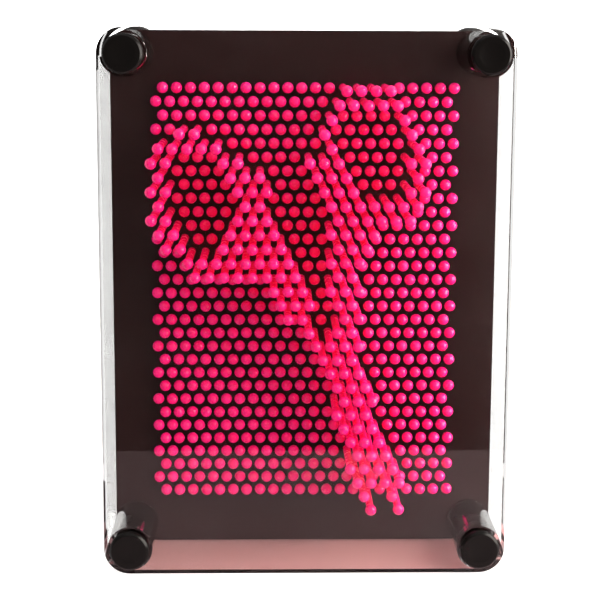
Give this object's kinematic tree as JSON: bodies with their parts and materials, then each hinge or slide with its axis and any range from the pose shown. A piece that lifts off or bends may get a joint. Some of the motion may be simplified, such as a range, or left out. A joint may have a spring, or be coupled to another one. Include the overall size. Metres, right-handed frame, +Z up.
{
  "type": "pin art impression toy",
  "caption": "Upright desk toy: a board of sliding ball-headed pins behind a clear window, pressed from behind into the shape of a pair of scissors.",
  "frame": {"origin": "middle of the bottom edge that the toy stands on, halfway through its depth", "axes": "+Z up along the long side, +X to the right seen from the front, the window faces -Y"},
  "size_m": [0.15, 0.0728, 0.203],
  "materials": {
    "clear_cover": "clear polished acrylic",
    "black_board": "fine satin",
    "black_fittings": "moulded gloss",
    "black_rubber": "matte",
    "zinc_steel": "zinc plated",
    "pink_pins": "translucent moulded plastic"
  },
  "bodies": {
    "board": {"corner_post_bottom_left": "black_fittings", "corner_post_bottom_right": "black_fittings", "corner_post_top_left": "black_fittings", "corner_post_top_right": "black_fittings", "front_cap_bottom_left": "black_fittings", "front_cap_bottom_right": "black_fittings", "front_cap_top_left": "black_fittings", "front_cap_top_right": "black_fittings", "front_pin_plate": "black_board", "plate_spacer_frame": "black_board", "rear_leg_bottom_left": "black_fittings", "rear_leg_bottom_right": "black_fittings", "rear_leg_top_left": "black_fittings", "rear_leg_top_right": "black_fittings", "rear_pin_plate": "black_board", "rubber_feet": "black_rubber", "screw_washers": "zinc_steel", "tie_screws": "zinc_steel", "window_cover": "clear_cover"},
    "left_blade_pins": {"left_blade_pins": "pink_pins"},
    "left_loop_pins": {"left_loop_pins": "pink_pins"},
    "left_shank_pins": {"left_shank_pins": "pink_pins"},
    "pin_row_01": {"pin_row_01": "pink_pins"},
    "pin_row_02": {"pin_row_02": "pink_pins"},
    "pin_row_03": {"pin_row_03": "pink_pins"},
    "pin_row_04": {"pin_row_04": "pink_pins"},
    "pin_row_05": {"pin_row_05": "pink_pins"},
    "pin_row_06": {"pin_row_06": "pink_pins"},
    "pin_row_07": {"pin_row_07": "pink_pins"},
    "pin_row_08": {"pin_row_08": "pink_pins"},
    "pin_row_09": {"pin_row_09": "pink_pins"},
    "pin_row_10": {"pin_row_10": "pink_pins"},
    "pin_row_11": {"pin_row_11": "pink_pins"},
    "pin_row_12": {"pin_row_12": "pink_pins"},
    "pin_row_13": {"pin_row_13": "pink_pins"},
    "pin_row_14": {"pin_row_14": "pink_pins"},
    "pin_row_15": {"pin_row_15": "pink_pins"},
    "pin_row_16": {"pin_row_16": "pink_pins"},
    "pin_row_17": {"pin_row_17": "pink_pins"},
    "pin_row_18": {"pin_row_18": "pink_pins"},
    "pin_row_19": {"pin_row_19": "pink_pins"},
    "pin_row_20": {"pin_row_20": "pink_pins"},
    "pin_row_21": {"pin_row_21": "pink_pins"},
    "pin_row_22": {"pin_row_22": "pink_pins"},
    "pin_row_23": {"pin_row_23": "pink_pins"},
    "pin_row_24": {"pin_row_24": "pink_pins"},
    "pin_row_25": {"pin_row_25": "pink_pins"},
    "pin_row_26": {"pin_row_26": "pink_pins"},
    "pin_row_27": {"pin_row_27": "pink_pins"},
    "pin_row_28": {"pin_row_28": "pink_pins"},
    "pin_row_29": {"pin_row_29": "pink_pins"},
    "pin_row_30": {"pin_row_30": "pink_pins"},
    "pin_row_31": {"pin_row_31": "pink_pins"},
    "right_blade_pins": {"right_blade_pins": "pink_pins"},
    "right_loop_pins": {"right_loop_pins": "pink_pins"},
    "right_shank_pins": {"right_shank_pins": "pink_pins"}
  },
  "joints": [
    {"name": "left_blade_slide", "type": "slide", "parent": "board", "child": "left_blade_pins", "axis": [0, -1, 0], "range_m": [-0.02368, 0.002]},
    {"name": "left_loop_slide", "type": "slide", "parent": "board", "child": "left_loop_pins", "axis": [0, -1, 0], "range_m": [-0.02568, 0]},
    {"name": "left_shank_slide", "type": "slide", "parent": "board", "child": "left_shank_pins", "axis": [0, -1, 0], "range_m": [-0.02518, 0.0005]},
    {"name": "row_01_slide", "type": "slide", "parent": "board", "child": "pin_row_01", "axis": [0, -1, 0], "range_m": [0, 0.02568]},
    {"name": "row_02_slide", "type": "slide", "parent": "board", "child": "pin_row_02", "axis": [0, -1, 0], "range_m": [0, 0.02568]},
    {"name": "row_03_slide", "type": "slide", "parent": "board", "child": "pin_row_03", "axis": [0, -1, 0], "range_m": [0, 0.02568]},
    {"name": "row_04_slide", "type": "slide", "parent": "board", "child": "pin_row_04", "axis": [0, -1, 0], "range_m": [0, 0.02568]},
    {"name": "row_05_slide", "type": "slide", "parent": "board", "child": "pin_row_05", "axis": [0, -1, 0], "range_m": [0, 0.02568]},
    {"name": "row_06_slide", "type": "slide", "parent": "board", "child": "pin_row_06", "axis": [0, -1, 0], "range_m": [0, 0.02568]},
    {"name": "row_07_slide", "type": "slide", "parent": "board", "child": "pin_row_07", "axis": [0, -1, 0], "range_m": [0, 0.02568]},
    {"name": "row_08_slide", "type": "slide", "parent": "board", "child": "pin_row_08", "axis": [0, -1, 0], "range_m": [0, 0.02568]},
    {"name": "row_09_slide", "type": "slide", "parent": "board", "child": "pin_row_09", "axis": [0, -1, 0], "range_m": [0, 0.02568]},
    {"name": "row_10_slide", "type": "slide", "parent": "board", "child": "pin_row_10", "axis": [0, -1, 0], "range_m": [0, 0.02568]},
    {"name": "row_11_slide", "type": "slide", "parent": "board", "child": "pin_row_11", "axis": [0, -1, 0], "range_m": [0, 0.02568]},
    {"name": "row_12_slide", "type": "slide", "parent": "board", "child": "pin_row_12", "axis": [0, -1, 0], "range_m": [0, 0.02568]},
    {"name": "row_13_slide", "type": "slide", "parent": "board", "child": "pin_row_13", "axis": [0, -1, 0], "range_m": [0, 0.02568]},
    {"name": "row_14_slide", "type": "slide", "parent": "board", "child": "pin_row_14", "axis": [0, -1, 0], "range_m": [0, 0.02568]},
    {"name": "row_15_slide", "type": "slide", "parent": "board", "child": "pin_row_15", "axis": [0, -1, 0], "range_m": [0, 0.02568]},
    {"name": "row_16_slide", "type": "slide", "parent": "board", "child": "pin_row_16", "axis": [0, -1, 0], "range_m": [0, 0.02568]},
    {"name": "row_17_slide", "type": "slide", "parent": "board", "child": "pin_row_17", "axis": [0, -1, 0], "range_m": [0, 0.02568]},
    {"name": "row_18_slide", "type": "slide", "parent": "board", "child": "pin_row_18", "axis": [0, -1, 0], "range_m": [0, 0.02568]},
    {"name": "row_19_slide", "type": "slide", "parent": "board", "child": "pin_row_19", "axis": [0, -1, 0], "range_m": [0, 0.02568]},
    {"name": "row_20_slide", "type": "slide", "parent": "board", "child": "pin_row_20", "axis": [0, -1, 0], "range_m": [0, 0.02568]},
    {"name": "row_21_slide", "type": "slide", "parent": "board", "child": "pin_row_21", "axis": [0, -1, 0], "range_m": [0, 0.02568]},
    {"name": "row_22_slide", "type": "slide", "parent": "board", "child": "pin_row_22", "axis": [0, -1, 0], "range_m": [0, 0.02568]},
    {"name": "row_23_slide", "type": "slide", "parent": "board", "child": "pin_row_23", "axis": [0, -1, 0], "range_m": [0, 0.02568]},
    {"name": "row_24_slide", "type": "slide", "parent": "board", "child": "pin_row_24", "axis": [0, -1, 0], "range_m": [0, 0.02568]},
    {"name": "row_25_slide", "type": "slide", "parent": "board", "child": "pin_row_25", "axis": [0, -1, 0], "range_m": [0, 0.02568]},
    {"name": "row_26_slide", "type": "slide", "parent": "board", "child": "pin_row_26", "axis": [0, -1, 0], "range_m": [0, 0.02568]},
    {"name": "row_27_slide", "type": "slide", "parent": "board", "child": "pin_row_27", "axis": [0, -1, 0], "range_m": [0, 0.02568]},
    {"name": "row_28_slide", "type": "slide", "parent": "board", "child": "pin_row_28", "axis": [0, -1, 0], "range_m": [0, 0.02568]},
    {"name": "row_29_slide", "type": "slide", "parent": "board", "child": "pin_row_29", "axis": [0, -1, 0], "range_m": [0, 0.02568]},
    {"name": "row_30_slide", "type": "slide", "parent": "board", "child": "pin_row_30", "axis": [0, -1, 0], "range_m": [0, 0.02568]},
    {"name": "row_31_slide", "type": "slide", "parent": "board", "child": "pin_row_31", "axis": [0, -1, 0], "range_m": [0, 0.02568]},
    {"name": "right_blade_slide", "type": "slide", "parent": "board", "child": "right_blade_pins", "axis": [0, -1, 0], "range_m": [-0.02368, 0.002]},
    {"name": "right_loop_slide", "type": "slide", "parent": "board", "child": "right_loop_pins", "axis": [0, -1, 0], "range_m": [-0.02568, 0]},
    {"name": "right_shank_slide", "type": "slide", "parent": "board", "child": "right_shank_pins", "axis": [0, -1, 0], "range_m": [-0.02468, 0.001]}
  ]
}
